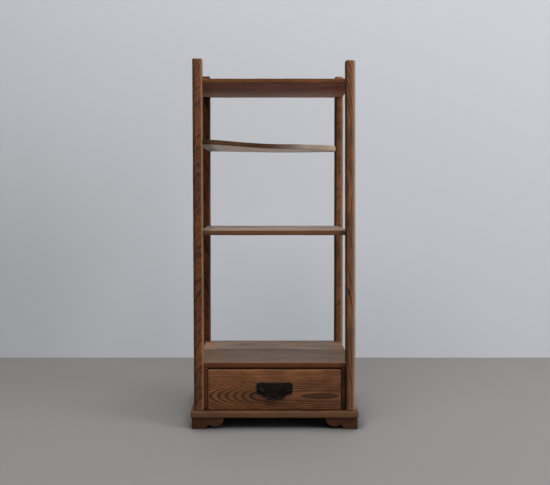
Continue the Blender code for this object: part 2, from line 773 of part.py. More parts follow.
def main():
    clear_scene()
    base_board = plank(
        "base_board",
        (-BASE_WIDTH / 2, -BASE_DEPTH / 2, base_bottom),
        (BASE_WIDTH / 2, BASE_DEPTH / 2, base_top),
        BASE_EDGE_ROUND,
        3,
    )
    wood(base_board)
    make_feet()

    case_top_end = posts_inner_x + CASE_TOP_HOUSING
    case_top = straight_board("case_top", case_top_end, case_top_bottom, case_top_top)
    middle_end = posts_inner_x + MIDDLE_SHELF_HOUSING
    straight_board("middle_shelf", middle_end, middle_bottom, middle_top)
    make_upper_shelf()
    make_top_shelf()

    upper_end = posts_inner_x + UPPER_SHELF_HOUSING
    top_end = posts_outer_x - TOP_SHELF_END_INSET
    notch_end = posts_inner_x + TOP_SHELF_HOUSING
    notch_front = posts_front + POST_SIDE - TOP_SHELF_HOUSING
    notch_rear = posts_rear - POST_SIDE + TOP_SHELF_HOUSING
    housings = [
        housing("case_top_housing", case_top_end, board_front, board_rear, case_top_bottom, case_top_top),
        housing("middle_shelf_housing", middle_end, board_front, board_rear, middle_bottom, middle_top),
        housing("top_shelf_housing", notch_end, board_front, board_rear, top_bottom, top_top),
        housing("top_shelf_ends", top_end, notch_front, notch_rear, top_bottom, top_top),
    ]
    upper_housing = housing(
        "upper_shelf_housing", upper_end, board_front, board_rear, upper_bottom, upper_top
    )
    tongue_housing = housing(
        "upper_shelf_tongue_housing", upper_end, shelf_tongue_front, board_rear, upper_bottom, upper_top
    )
    posts = (
        ("post_front_left", -1, True, 0.0),
        ("post_front_right", 1, True, FRONT_RIGHT_POST_SHORTER),
        ("post_rear_left", -1, False, 0.0),
        ("post_rear_right", 1, False, REAR_RIGHT_POST_SHORTER),
    )
    for name, x_sign, front, shorter in posts:
        post = make_post(name, x_sign, front, shorter, base_board)
        for tool in housings:
            cut(post, tool)
        if x_sign < 0:
            cut(post, upper_housing)
        elif not front:
            cut(post, tongue_housing)

    make_case(base_board, case_top)

    drawer_pieces = make_drawer()
    drawer_pieces += make_handle(drawer_pieces[0])
    bail = make_bail()
    slide = bpy.data.objects.new("drawer_slide", None)
    slide.location = (0.0, drawer_face, (drawer_bottom + drawer_top) / 2)
    bpy.context.scene.collection.objects.link(slide)
    carried_by(slide, drawer_pieces + [bail])


main()
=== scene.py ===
"""Old wooden utensil shelf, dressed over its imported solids.

The posts and boards are worn, every face of the wood shows its year rings, and the handle is forged iron.
Metres, +Z up. The front faces -Y, and the origin is on the floor under the middle of the base board.
"""

import json
import math

import bmesh
import bpy
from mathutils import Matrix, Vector
from mathutils.kdtree import KDTree


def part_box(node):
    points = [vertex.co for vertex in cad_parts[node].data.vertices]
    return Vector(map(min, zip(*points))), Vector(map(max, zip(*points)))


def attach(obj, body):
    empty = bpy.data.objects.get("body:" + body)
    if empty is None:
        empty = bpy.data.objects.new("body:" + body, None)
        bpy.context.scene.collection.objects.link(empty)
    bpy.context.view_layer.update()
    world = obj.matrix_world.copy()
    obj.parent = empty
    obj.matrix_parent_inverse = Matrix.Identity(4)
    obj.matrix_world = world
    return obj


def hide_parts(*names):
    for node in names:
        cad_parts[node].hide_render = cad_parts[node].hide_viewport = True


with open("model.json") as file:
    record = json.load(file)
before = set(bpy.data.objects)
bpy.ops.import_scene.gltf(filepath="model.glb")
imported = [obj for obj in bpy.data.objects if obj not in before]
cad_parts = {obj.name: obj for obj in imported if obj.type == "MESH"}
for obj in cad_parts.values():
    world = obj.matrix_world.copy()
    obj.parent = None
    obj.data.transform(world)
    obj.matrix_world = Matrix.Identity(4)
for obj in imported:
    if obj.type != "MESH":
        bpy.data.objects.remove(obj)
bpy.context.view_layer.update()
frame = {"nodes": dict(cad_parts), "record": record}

# The photograph's frame, and the lens and eye that its proportions give
PICTURE_WIDTH = 550.0
LENS_PIXELS = 625.7
SENSOR_WIDTH = 36.0
EYE = (-0.0328, -1.8255, 0.6286)
LOOKS_DOWN = math.radians(1.1)
VANISHING_LEFT_OF_CENTRE = 12.5
VANISHING_ABOVE_CENTRE = 46.3

# The stage: a pale floor with painted shade where the base is close above it, and a wall 0.45 m behind the
# base
WALL_Y = 0.60
STAGE_SIZE = 14.0
CONTACT_REACH = 0.06

# The air's light on the shelf, least near the horizon and most overhead, and how bright it looks itself
AIR_COLOUR = (0.86, 0.88, 0.92, 1.0)
HORIZON = 0.15
AIR_NEAR_HORIZON = 0.05
AIR_OVERHEAD = 0.60
BACKDROP = 0.6

# Room at the joints, how far the posts stand out past the solids before they are worn, and how near to a
# face a vertex lies that is picked with it
GAP = 0.0003
ROOM = Vector((GAP, GAP, GAP))
POST_SWELL = 0.0007
NEAR = 0.001

# How round the edges are
POST_ROUND = 0.0050
TIP_ROUND = 0.004
BOARD_EASE = 0.0022
TOP_EASE = 0.0014
BASE_EASE = 0.0034
FOOT_EASE = 0.0008
PLATE_EASE = 0.0004

# How far apart the meshes are cut, so that the pieces can bend and wear
MESH_STEP = 0.009
POST_STEP = 0.005
CASE_SIDE_STEPS = (0.003, 0.02, 0.008)
INSIDE_STEP = 0.02
FOOT_STEP = 0.006
PLATE_STEP = 0.003

# How large an angle between two faces is smoothed, is rubbed as an edge, is eased, or still counts as flat
SMOOTH_ANGLE = math.radians(40)
SHARP = math.radians(12)
PLATE_SHARP = math.radians(30)
CORNER = math.radians(50)
FLAT = math.radians(1)

# How far apart the marks along an edge are, and how close two points are that count as one
MARK_STEP = 0.003
SAME_POINT = 0.000002

# Wear, as pairs: how deep it goes, and how large its hollows are
POST_WEAR = ((0.0009, 0.055), (0.0004, 0.014))
BOARD_WEAR = ((0.0006, 0.07), (0.0003, 0.015))
BASE_WEAR = ((0.0004, 0.07), (0.0003, 0.015))
PLATE_WEAR = ((0.0003, 0.006),)

# The front posts lean left, and the rear ones stand upright, a little left of the solids
LEAN = 0.0033
UPRIGHT_AT = 0.24
REAR_POSTS_TO_LEFT = 0.0018

# The upper board's ends are lifted, so that it sags between them
UPPER_LEFT_LIFT = 0.003
UPPER_RIGHT_LIFT = 0.0018
LEFT_LIFT_REACH = 0.22
RIGHT_LIFT_REACH = 0.12
LIFTED_END = 0.012

# The top shelf laps the posts, and its corners are cut out to past its own edges
TOP_SHELF_LAP = 0.006
CORNER_CUT_X = 0.24
CORNER_CUT_Y = 0.16

# The upper shelf's housing in the right rear post starts this far behind the post's front face
HOUSING_BEHIND_FACE = 0.003

# Where the case top's darker front part meets its paler rear part
TONE_LINE_Y = 0.022

# The drawer front's heart line: how far it lies behind the eye of the figure, at shares of the way from
# one end of HEART_SPAN to the other
HEART_SPAN = (-0.2, 0.2)
HEART_DEPTHS = (
    (0.0, 0.018),
    (0.125, 0.013),
    (0.25, 0.008),
    (0.375, 0.0036),
    (0.5, 0.00175),
    (0.68, 0.00068),
    (0.75, 0.0003),
    (0.82, 0.00005),
    (1.0, 0.00108),
)


def tone(red, green, blue):
    """A colour as a screen shows it, 0 to 255, in the renderer's linear light."""

    def linear(value):
        share = value / 255
        return share / 12.92 if share <= 0.04045 else ((share + 0.055) / 1.055) ** 2.4

    return (linear(red), linear(green), linear(blue), 1.0)


OILED = {
    "pale": tone(126, 80, 48),
    "dark": tone(34, 16, 8),
    "worn": tone(150, 112, 82),
    "grime": tone(20, 10, 6),
}
DARK = {
    "pale": tone(72, 41, 24),
    "dark": tone(24, 13, 8),
    "worn": tone(104, 72, 50),
    "grime": tone(18, 10, 7),
}
BARE = {
    "pale": tone(168, 132, 94),
    "dark": tone(116, 82, 54),
    "worn": tone(178, 146, 110),
    "grime": tone(72, 50, 34),
}
REDDISH = dict(OILED, pale=tone(124, 73, 42))
DARK_REDDISH = dict(DARK, pale=tone(90, 48, 26))
DUST = tone(138, 120, 106)
# The pale tone of the painted highlight on the sides towards the window
PAINTED_HIGHLIGHT_TONE = tone(190, 160, 136)


class Finish:
    """A material whose nodes are joined as they are added."""

    def __init__(self, name, seed=0.0):
        self.material = bpy.data.materials.new(name)
        self.material.use_nodes = True
        tree = self.material.node_tree
        self.nodes, self.links = tree.nodes, tree.links
        self.shader = self.nodes["Principled BSDF"]
        self.seed = (3.1 * seed, 1.7 * seed, 2.3 * seed)
        coordinates = self.add("TexCoord")
        self.place = coordinates.outputs["Object"]
        self.facing = self.parts(coordinates.outputs["Normal"])

    def add(self, kind, inputs=None, **settings):
        node = self.nodes.new("ShaderNode" + kind)
        for name, value in settings.items():
            setattr(node, name, value)
        for key, value in (inputs or {}).items():
            self.feed(node.inputs[key], value)
        return node

    def feed(self, socket, value):
        if isinstance(value, bpy.types.NodeSocket):
            self.links.new(value, socket)
        else:
            socket.default_value = value

    def math(self, operation, a, b=0.0, c=0.0):
        return self.add("Math", {0: a, 1: b, 2: c}, operation=operation).outputs[0]

    def product(self, *factors):
        result = factors[0]
        for factor in factors[1:]:
            result = self.math("MULTIPLY", result, factor)
        return result

    def parts(self, vector):
        return self.add("SeparateXYZ", {0: vector}).outputs

    def noise(self, lengths, detail=2.0, roughness=0.5, colour=False):
        """A cloudy pattern whose clouds are about this long along X, Y and Z, in metres."""
        scale = [1 / length for length in lengths]
        mapping = self.add("Mapping", {"Vector": self.place, "Scale": scale, "Location": self.seed})
        node = self.add(
            "TexNoise",
            {"Vector": mapping.outputs[0], "Scale": 1.0, "Detail": detail, "Roughness": roughness},
        )
        return node.outputs["Color" if colour else "Fac"]

    def spread(self, value, low, high, to_low=0.0, to_high=1.0, smooth=True):
        """Maps low..high of a value to to_low..to_high, held at both ends."""
        node = self.add(
            "MapRange",
            {"Value": value, "From Min": low, "From Max": high, "To Min": to_low, "To Max": to_high},
            interpolation_type="SMOOTHSTEP" if smooth else "LINEAR",
        )
        return node.outputs[0]

    def blend(self, share, a, b, kind="MIX"):
        node = self.add("Mix", {0: share, 6: a, 7: b}, data_type="RGBA", blend_type=kind)
        return node.outputs[2]

    def shade(self, colour, factor):
        """The colour made darker or lighter by a factor."""
        return self.add("VectorMath", {0: colour, "Scale": factor}, operation="SCALE").outputs[0]

    def tint(self, colour, glaze, share=1.0):
        """The colour under a glaze of another one."""
        return self.blend(share, colour, glaze, "MULTIPLY")

    def edge_room(self):
        """How far a point of the surface is from the piece's nearest edge, as mark_edges left it."""
        return self.add("Attribute", attribute_name="edge_room").outputs["Fac"]

    def bump(self, height, distance):
        return self.add("Bump", {"Height": height, "Distance": distance, "Strength": 1.0}).outputs[0]


def along_grain(axis, lengthwise, across):
    return [lengthwise if letter == axis else across for letter in "XYZ"]


def grown_wood(
    name,
    node,
    heart,
    lean=(0.0, 0.0),
    axis=None,
    ring=0.0026,
    wander=0.006,
    ripple=0.0009,
    slip=2.2,
    contrast=0.9,
    wear=0.35,
    dust=0.0,
    path=None,
    after=None,
    phase=0.0,
    unlike=0.6,
    light=1.0,
    shaded=0.0,
    painted_highlight=0.0,
    shine=0.22,
    seed=1.0,
    colours=OILED,
):
    """Wood with year rings about a heart line, so that each face shows them as the saw would.

    heart is where that line passes the piece's middle, in the two axes across the grain, measured from the
    middle. lean is how far it moves in them for each metre along the grain, and path bends it further in one
    of them. ring is a year's width, slip how uneven the years are, phase shifts them, and unlike is how far
    they differ in darkness. wander and ripple are how far the rings stray, slowly and quickly. sunned
    paints a brighter, paler highlight on the side towards +X, where the window is, shaded paints shade on
    the other one, and after changes the finished colour.
    """
    f = Finish(name, seed)
    low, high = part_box(node)
    middle = (low + high) / 2
    if axis is None:
        sides = list(high - low)
        axis = "XYZ"[sides.index(max(sides))]
    grain = "XYZ".index(axis)
    across = [i for i in range(3) if i != grain]
    place = f.parts(f.place)
    along = f.math("SUBTRACT", place[grain], middle[grain])

    slow = f.parts(f.noise(along_grain(axis, 0.24, 0.08), 2.0, 0.5, colour=True))
    quick = f.parts(f.noise(along_grain(axis, 0.03, 0.012), 2.0, 0.55, colour=True))
    squares = []
    for k, i in enumerate(across):
        line = f.math("MULTIPLY_ADD", along, lean[k], middle[i] + heart[k])
        if path and k == path[0]:
            line = f.math("ADD", line, path[1](f, along))
        wave = f.math("MULTIPLY_ADD", slow[k], 2 * wander, -wander)
        wrinkle = f.math("MULTIPLY_ADD", quick[k], 2 * ripple, -ripple)
        off = f.math("ADD", f.math("SUBTRACT", place[i], line), f.math("ADD", wave, wrinkle))
        squares.append(f.math("MULTIPLY", off, off))
    radius = f.math("SQRT", f.math("ADD", *squares))

    years = f.math("DIVIDE", radius, ring)
    uneven = f.add("TexNoise", {"W": f.math("MULTIPLY", years, 0.41), "Scale": 1.0}, noise_dimensions="1D")
    years = f.math("ADD", years, f.math("MULTIPLY_ADD", uneven.outputs["Fac"], slip, phase))
    season = f.math("FRACT", years)
    year = f.add("TexWhiteNoise", {"W": f.math("FLOOR", years)}, noise_dimensions="1D").outputs["Value"]
    late = f.product(f.spread(season, 0.25, 0.85), f.spread(season, 0.9, 1.0, 1.0, 0.0))
    late = f.product(late, f.spread(year, 0.0, 1.0, 1 - unlike, 1.0, smooth=False))

    early = f.spread(season, 0.5, 0.1, 0.2, 1.0)
    pores = f.noise(along_grain(axis, 0.007, 0.0005), 1.0, 0.5)
    pores = f.product(f.spread(pores, 0.55, 0.68), early)
    fibre = f.noise(along_grain(axis, 0.06, 0.0013), 3.0, 0.6)
    patch = f.noise(along_grain(axis, 0.10, 0.04), 3.0, 0.55)
    blotch = f.noise((0.02, 0.02, 0.02), 3.0, 0.6)

    colour = f.blend(f.product(late, contrast), colours["pale"], colours["dark"])
    colour = f.shade(colour, f.spread(fibre, 0.3, 0.7, 1.22, 0.72))
    colour = f.shade(colour, f.spread(patch, 0.34, 0.66, 1.25 * light, 0.68 * light))
    colour = f.blend(f.product(pores, 0.6), colour, colours["grime"])
    if dust:
        up = f.product(f.spread(f.facing[2], 0.55, 0.95), f.spread(patch, 0.25, 0.6, 0.6, 1.0), dust)
        streaks = f.product(f.spread(fibre, 0.3, 0.7, 1.4, 0.62), f.spread(patch, 0.3, 0.7, 1.25, 0.7))
        colour = f.blend(up, colour, f.shade(DUST[:3], streaks))
    rubbed_width = f.spread(blotch, 0.36, 0.7, 0.0002, 0.005)
    rubbed = f.spread(f.math("DIVIDE", f.edge_room(), rubbed_width), 0.3, 1.0, wear, 0.0)
    colour = f.blend(rubbed, colour, colours["worn"])
    # Painted light: faces towards +X get a brighter, paler painted highlight, and faces towards -X painted
    # shade
    if shaded or painted_highlight:
        to_left = f.spread(f.facing[0], -0.65, -0.05, 1 - shaded, 1.0)
        to_right = f.spread(f.facing[0], 0.1, 0.8, 1.0, 1 + painted_highlight)
        colour = f.shade(colour, f.product(to_left, to_right))
        colour = f.blend(f.spread(f.facing[0], 0.3, 0.95, 0.0, 0.35 * painted_highlight), colour, PAINTED_HIGHLIGHT_TONE)
    if after:
        colour = after(f, colour, place)

    height = f.math("MULTIPLY_ADD", late, 0.5, f.product(pores, -0.6))
    height = f.math("MULTIPLY_ADD", fibre, 0.4, height)
    height = f.math("MULTIPLY_ADD", blotch, 1.2, height)
    rough = f.math("MULTIPLY_ADD", fibre, 0.2, 0.5)
    rough = f.math("MULTIPLY_ADD", pores, 0.2, rough)
    rough = f.math("MULTIPLY_ADD", rubbed, -0.12, rough)
    f.feed(f.shader.inputs["Base Color"], colour)
    f.feed(f.shader.inputs["Roughness"], rough)
    f.feed(f.shader.inputs["Normal"], f.bump(height, 0.0004))
    f.shader.inputs["Specular IOR Level"].default_value = shine
    return f.material


def peg_wood():
    f = Finish("peg_wood")
    fibre = f.noise((0.02, 0.0008, 0.0008), 3.0, 0.6)
    f.feed(f.shader.inputs["Base Color"], f.blend(fibre, BARE["dark"], BARE["pale"]))
    f.feed(f.shader.inputs["Roughness"], f.math("MULTIPLY_ADD", fibre, 0.2, 0.5))
    f.feed(f.shader.inputs["Normal"], f.bump(fibre, 0.0002))
    return f.material


def forged_iron():
    f = Finish("forged_iron")
    cloud = f.noise((0.010, 0.010, 0.010), 4.0, 0.6)
    pits = f.noise((0.0011, 0.0011, 0.0011), 3.0, 0.6)
    colour = f.blend(f.spread(cloud, 0.42, 0.66), tone(18, 14, 12), tone(36, 25, 18))
    colour = f.blend(f.spread(pits, 0.55, 0.7, 0.0, 0.6), colour, tone(12, 9, 8))
    rubbed_width = f.spread(cloud, 0.3, 0.7, 0.0004, 0.002)
    rubbed = f.spread(f.math("DIVIDE", f.edge_room(), rubbed_width), 0.2, 1.0, 0.7, 0.0)
    colour = f.blend(rubbed, colour, tone(84, 80, 78))
    height = f.math("ADD", cloud, f.product(pits, 0.5))
    f.feed(f.shader.inputs["Base Color"], colour)
    f.feed(f.shader.inputs["Roughness"], f.spread(cloud, 0.3, 0.7, 0.45, 0.7))
    f.feed(f.shader.inputs["Normal"], f.bump(height, 0.0004))
    f.shader.inputs["Specular IOR Level"].default_value = 0.1
    return f.material


def only(obj):
    """Makes this object the one that the operators work on."""
    if bpy.context.object and bpy.context.object.mode != "OBJECT":
        bpy.ops.object.mode_set(mode="OBJECT")
    bpy.ops.object.select_all(action="DESELECT")
    obj.select_set(True)
    bpy.context.view_layer.objects.active = obj


def block(name, low, high):
    """A cube primitive at its size and place."""
    bpy.ops.object.select_all(action="DESELECT")
    middle = [(a + b) / 2 for a, b in zip(low, high)]
    sides = [b - a for a, b in zip(low, high)]
    bpy.ops.mesh.primitive_cube_add(size=1.0, location=middle, scale=sides)
    obj = bpy.context.object
    obj.name = obj.data.name = name
    bpy.ops.object.transform_apply(location=True, rotation=True, scale=True)
    return obj


def copy_of(node, name):
    """A node's shape as a mesh of its own, its loose triangles joined and its flat faces made whole."""
    obj = bpy.data.objects.new(name, frame["nodes"][node].data.copy())
    bpy.context.scene.collection.objects.link(obj)
    only(obj)
    bpy.ops.object.mode_set(mode="EDIT")
    bpy.ops.mesh.select_all(action="SELECT")
    bpy.ops.mesh.remove_doubles(threshold=SAME_POINT)
    bpy.ops.mesh.dissolve_limited(angle_limit=FLAT)
    bpy.ops.object.mode_set(mode="OBJECT")
    return obj


def choose_edges(obj, test):
    """In edit mode, selects the edges that pass the test, and nothing else."""
    bpy.context.tool_settings.mesh_select_mode = (False, True, False)
    bpy.ops.mesh.select_all(action="DESELECT")
    bm = bmesh.from_edit_mesh(obj.data)
    for edge in bm.edges:
        if test(edge):
            edge.select_set(True)
    bmesh.update_edit_mesh(obj.data)


def runs_along(edge, axis):
    return abs(edge.verts[1].co[axis] - edge.verts[0].co[axis]) > 0.9 * edge.calc_length()


def is_corner(edge):
    return edge.is_manifold and edge.calc_face_angle() > CORNER


def move(obj, test, way, reach=0.0):
    """Moves the vertices that pass the test, and draws their neighbours along within a reach."""
    only(obj)
    bpy.ops.object.mode_set(mode="EDIT")
    bpy.context.tool_settings.mesh_select_mode = (True, False, False)
    bpy.ops.mesh.select_all(action="DESELECT")
    bm = bmesh.from_edit_mesh(obj.data)
    for vert in bm.verts:
        vert.select_set(test(vert.co))
    bmesh.update_edit_mesh(obj.data)
    near = {"use_proportional_edit": True, "proportional_size": reach} if reach else {}
    bpy.ops.transform.translate(value=way, **near)
    bpy.ops.object.mode_set(mode="OBJECT")


def ease(obj, test, width, segments=3):
    """Rounds the edges that pass the test."""
    only(obj)
    bpy.ops.object.mode_set(mode="EDIT")
    choose_edges(obj, test)
    bpy.ops.mesh.bevel(offset=width, segments=segments, affect="EDGES")
    bpy.ops.object.mode_set(mode="OBJECT")


def cut_across(obj, axis, step=MESH_STEP):
    """Cuts the faces that run along an axis into lengths of about one step."""
    only(obj)
    bpy.ops.object.mode_set(mode="EDIT")
    edges = bmesh.from_edit_mesh(obj.data).edges
    longest = max(edge.calc_length() for edge in edges if runs_along(edge, axis))

    def is_long(edge):
        return runs_along(edge, axis) and edge.calc_length() > 0.5 * longest

    choose_edges(obj, is_long)
    bpy.ops.mesh.subdivide(number_cuts=max(1, round(longest / step) - 1))
    bpy.ops.object.mode_set(mode="OBJECT")


def slice_up(obj, steps):
    """Cuts a piece by planes across X, Y and Z, this far apart, and not across an axis whose step is 0."""
    only(obj)
    bpy.ops.object.mode_set(mode="EDIT")
    for axis, step in enumerate(steps):
        if not step:
            continue
        values = [vert.co[axis] for vert in bmesh.from_edit_mesh(obj.data).verts]
        low, high = min(values), max(values)
        count = round((high - low) / step)
        way = [float(i == axis) for i in range(3)]
        for k in range(1, count):
            place = [0.0, 0.0, 0.0]
            place[axis] = low + (high - low) * k / count
            bpy.ops.mesh.select_all(action="SELECT")
            bpy.ops.mesh.bisect(plane_co=place, plane_no=way)
    bpy.ops.object.mode_set(mode="OBJECT")


def apply_modifier(obj, kind, **settings):
    only(obj)
    modifier = obj.modifiers.new(kind.lower(), kind)
    for name, value in settings.items():
        setattr(modifier, name, value)
    bpy.ops.object.modifier_apply(modifier=modifier.name)


def weather(obj, wear):
    """Wears the surface back in clouds, and never outwards, once for each pair of a depth and a size."""
    for depth, size in wear:
        clouds = bpy.data.textures.new("weathering", "CLOUDS")
        clouds.noise_scale = size
        clouds.noise_depth = 3
        apply_modifier(
            obj, "DISPLACE", texture=clouds, strength=depth, mid_level=1.0, texture_coords="LOCAL"
        )


def cut_away(obj, low, high):
    tool = block("cutter", low, high)
    apply_modifier(obj, "BOOLEAN", object=tool, operation="DIFFERENCE", solver="EXACT")
    bpy.data.objects.remove(tool)


def mark_edges(obj, sharp):
    """Keeps each vertex's distance from the nearest edge that turns sharply, for the finish to read."""
    bm = bmesh.new()
    bm.from_mesh(obj.data)
    points = []
    for edge in bm.edges:
        if len(edge.link_faces) == 2 and edge.calc_face_angle() > sharp:
            a, b = (vert.co for vert in edge.verts)
            steps = max(1, math.ceil((b - a).length / MARK_STEP))
            points += [a.lerp(b, k / steps) for k in range(steps + 1)]
    bm.free()
    tree = KDTree(max(1, len(points)))
    for k, point in enumerate(points):
        tree.insert(point, k)
    tree.balance()
    room = obj.data.attributes.new("edge_room", "FLOAT", "POINT")
    for k, vert in enumerate(obj.data.vertices):
        room.data[k].value = tree.find(vert.co)[2] if points else 1.0


def finish_piece(obj, node, material, sharp=SHARP):
    """Gives a piece its finish and its body, in place of a node of the frame."""
    only(obj)
    bpy.ops.object.shade_smooth_by_angle(angle=SMOOTH_ANGLE)
    mark_edges(obj, sharp)
    obj.data.materials.clear()
    obj.data.materials.append(material)
    record = frame["record"]
    body = next(name for name, nodes in record["behaviour"]["bodies"].items() if node in nodes)
    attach(obj, body)
    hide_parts(node)


def lean_at(z):
    return -LEAN * (z - UPRIGHT_AT)


def post_slide(node, z):
    """How far a post is moved along X at a height: the front posts lean, and the rear ones don't."""
    return -REAR_POSTS_TO_LEFT if "rear" in node else lean_at(z)


def straight_housing(board, post):
    """The room that a board's end takes out of a post."""
    low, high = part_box(board)
    slide = Vector((lean_at(low.z), 0, 0))
    if board == "upper_shelf":
        slide.z = UPPER_LEFT_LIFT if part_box(post)[0].x < 0 else UPPER_RIGHT_LIFT
    return low + slide - ROOM, high + slide + ROOM


def lapped_housings(node):
    """The rooms that the top shelf takes out of a post's inner face and of its face towards the middle."""
    low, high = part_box(node)
    board_low, board_high = straight_housing("top_shelf", node)
    slide = lean_at(board_low.z)
    side_low, side_high = board_low.copy(), board_high.copy()
    if high.x < 0:
        side_low.x = high.x + slide - TOP_SHELF_LAP - GAP
    else:
        side_high.x = low.x + slide + TOP_SHELF_LAP + GAP
    if high.y < 0:
        board_low.y = high.y - TOP_SHELF_LAP - GAP
    else:
        board_high.y = low.y + TOP_SHELF_LAP + GAP
    return [(side_low, side_high), (board_low, board_high)]


def make_post(node, material):
    """A worn post, housed for the boards, and the right rear one for the case side that it reaches over."""
    low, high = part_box(node)
    low.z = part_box("base_board")[1].z + GAP
    foot = Vector((post_slide(node, low.z), 0, 0))
    swell = Vector((POST_SWELL, POST_SWELL, 0))
    post = block("worn_" + node, low + foot - swell, high + foot + swell)
    near_tip = high.z - NEAR
    move(post, lambda place: place.z > near_tip, (post_slide(node, high.z) - post_slide(node, low.z), 0, 0))
    ease(post, lambda edge: runs_along(edge, 2), POST_ROUND, segments=5)
    ease(post, lambda edge: all(vert.co.z > near_tip for vert in edge.verts), TIP_ROUND, segments=4)
    cut_across(post, 2)
    for axis in (0, 1):
        cut_across(post, axis, POST_STEP)
    weather(post, POST_WEAR)
    for board in ("case_top", "middle_shelf", "upper_shelf"):
        if board == "upper_shelf" and node == "post_front_right":
            continue
        box_low, box_high = straight_housing(board, node)
        if board == "upper_shelf" and node == "post_rear_right":
            box_low.y = low.y + HOUSING_BEHIND_FACE
        cut_away(post, box_low, box_high)
    if node == "post_rear_right":
        side_low, side_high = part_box("case_side_right")
        cut_away(post, side_low - ROOM, side_high + ROOM)
    for box_low, box_high in lapped_housings(node):
        cut_away(post, box_low, box_high)
    finish_piece(post, node, material)


def corner_tones(node, dark, painted_light, reach=0.0065):
    """A post's corner has painted shade towards the dark side of the room, and a pale painted highlight
    towards the window.
    """
    low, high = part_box(node)
    start = low.x + post_slide(node, 0)
    end = high.x + post_slide(node, 0)
    lean = post_slide(node, 0) - post_slide(node, 1)

    def tone_corners(f, colour, place):
        across = f.math("MULTIPLY_ADD", place[2], lean, place[0])
        # Painted shade along the corner towards -X, and a painted highlight along the corner towards +X
        left = f.spread(across, start + 0.001, start + 0.001 + reach, 1 - dark, 1.0)
        right = f.spread(across, end - 0.012, end - 0.003, 0.0, painted_light)
        right = f.product(right, f.spread(f.facing[0], 0.6, 1.0, 1.0, 0.35))
        return f.blend(right, f.shade(colour, left), PAINTED_HIGHLIGHT_TONE)

    return tone_corners


def make_posts():
    # Painted light: each post is brighter and paler towards +X, where the window is, and darker towards -X
    # as painted shade, also along its corners
    finishes = {
        "post_front_left": dict(
            heart=(0.006, 0.075),
            lean=(0.01, 0.085),
            ring=0.0018,
            wander=0.007,
            ripple=0.0016,
            light=0.82,
            contrast=0.85,
            painted_highlight=0.3,
            seed=1.0,
            colours=REDDISH,
            after=corner_tones("post_front_left", 0.76, 0.0, reach=0.0105),
        ),
        "post_front_right": dict(
            heart=(-0.032, 0.080),
            lean=(0.0, 0.045),
            ring=0.0021,
            wander=0.011,
            ripple=0.0008,
            light=1.08,
            contrast=1.0,
            painted_highlight=0.3,
            seed=2.4,
            after=corner_tones("post_front_right", 0.74, 0.4),
        ),
        "post_rear_left": dict(
            heart=(0.006, 0.060),
            lean=(0.015, -0.05),
            shaded=0.3,
            painted_highlight=0.3,
            shine=0.1,
            seed=3.0,
            colours=DARK_REDDISH,
        ),
        "post_rear_right": dict(
            heart=(0.002, 0.050),
            lean=(-0.01, 0.10),
            ripple=0.0014,
            contrast=0.6,
            light=1.18,
            painted_highlight=0.3,
            seed=4.0,
            after=corner_tones("post_rear_right", 0.82, 0.4, reach=0.008),
        ),
    }
    for node, settings in finishes.items():
        make_post(node, grown_wood(node + "_wood", node, **settings))


def make_board(node, round_width=BOARD_EASE, every=False, wear=BOARD_WEAR):
    """A straight board that follows the lean, its long edges eased, or the base, eased all round."""
    low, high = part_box(node)
    slide = Vector() if every else Vector((lean_at(low.z), 0, 0))
    board = block("worn_" + node, low + slide, high + slide)
    ease(board, lambda edge: every or runs_along(edge, 0), round_width)
    cut_across(board, 0)
    cut_across(board, 1)
    weather(board, wear)
    return board


def cut_corners(top):
    """Cuts the top shelf's corners round the posts, which it laps on two faces each."""
    slide = lean_at(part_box("top_shelf")[0].z)
    low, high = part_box("post_front_right")
    rear_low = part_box("post_rear_left")[0]
    inner_x = low.x + TOP_SHELF_LAP
    for x_side in (-1, 1):
        for y_side, inner_y in ((-1, high.y - TOP_SHELF_LAP), (1, rear_low.y + TOP_SHELF_LAP)):
            xs = sorted((x_side * inner_x + slide, x_side * CORNER_CUT_X + slide))
            ys = sorted((inner_y, y_side * CORNER_CUT_Y))
            cut_away(top, (xs[0], ys[0], low.z), (xs[1], ys[1], high.z))


def warm_front(f, colour, front_light):
    """The front edge of a board is rubbed by hands, so it has no dust and is darker and warmer.
    front_light scales it, and where it falls towards a board's right end, it is a painted shadow of the
    front right post.
    """
    front = f.spread(f.facing[1], -0.85, -0.35, 1.0, 0.0)
    front_tones_and_painted_light = f.shade(f.tint(colour, tone(255, 236, 214)), front_light)
    return f.blend(front, colour, front_tones_and_painted_light)


def case_top_tones(f, colour, place):
    """The case top is darker in front of a wavering line and paler behind it, and warmer at its rim and
    ends.
    """
    wander = f.math("MULTIPLY", f.noise((0.2, 0.2, 0.2)), 0.004)
    rear_part = f.math("GREATER_THAN", f.math("ADD", place[1], wander), TONE_LINE_Y)
    front_part = f.spread(place[1], -0.13, 0.0, 0.66, 0.54, smooth=False)
    colour = f.shade(colour, f.math("MAXIMUM", front_part, f.product(rear_part, 1.12)))
    left = f.spread(place[0], -0.19, -0.06, 0.6, 0.0)
    front_left = f.product(left, f.math("SUBTRACT", 1.0, rear_part))
    both_ends = f.spread(f.math("ABSOLUTE", place[0]), 0.170, 0.186, 0.0, 0.5)
    rim = f.spread(place[1], -0.136, -0.114, 1.0, 0.0)
    warm_share = f.math("MAXIMUM", f.math("MAXIMUM", front_left, both_ends), rim)
    warm = f.shade(f.tint(colour, tone(255, 226, 192)), 1.22)
    # Painted shadow of the front right post on the right end of the front edge
    front_light = f.spread(place[0], 0.166, 0.184, 0.68, 0.3)
    return warm_front(f, f.blend(warm_share, colour, warm), front_light)


